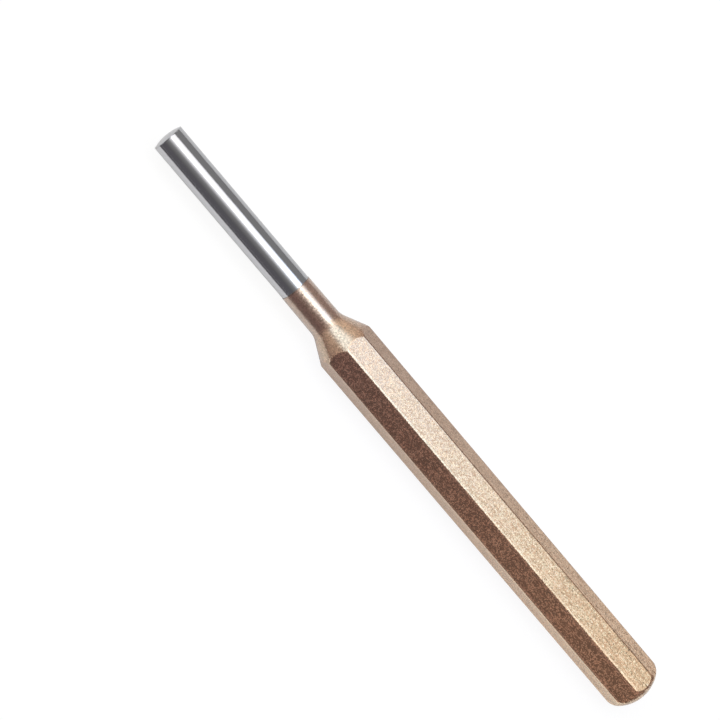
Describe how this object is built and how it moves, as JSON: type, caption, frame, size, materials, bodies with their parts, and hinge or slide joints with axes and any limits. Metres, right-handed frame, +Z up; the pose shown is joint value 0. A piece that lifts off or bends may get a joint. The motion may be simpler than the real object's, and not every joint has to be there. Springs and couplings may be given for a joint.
{
  "type": "pin punch",
  "caption": "Octagonal steel pin punch with a long straight ground pin, a conical shoulder and a domed striking head, lacquered bronze up to the bare pin.",
  "frame": {"origin": "under the middle of the punch's length, on the surface that it lies on", "axes": "+X along the punch from its pin tip to its struck head, +Z up from the flat that it lies on"},
  "size_m": [0.158, 0.0122, 0.0122],
  "materials": {
    "ground_steel": "bright ground steel with fine grinding marks",
    "bronze_lacquer": "semi-gloss metallic bronze lacquer with a fine grain"
  },
  "bodies": {
    "root": {"punch_blank": "ground_steel", "lacquer_coat": "bronze_lacquer"}
  },
  "joints": []
}
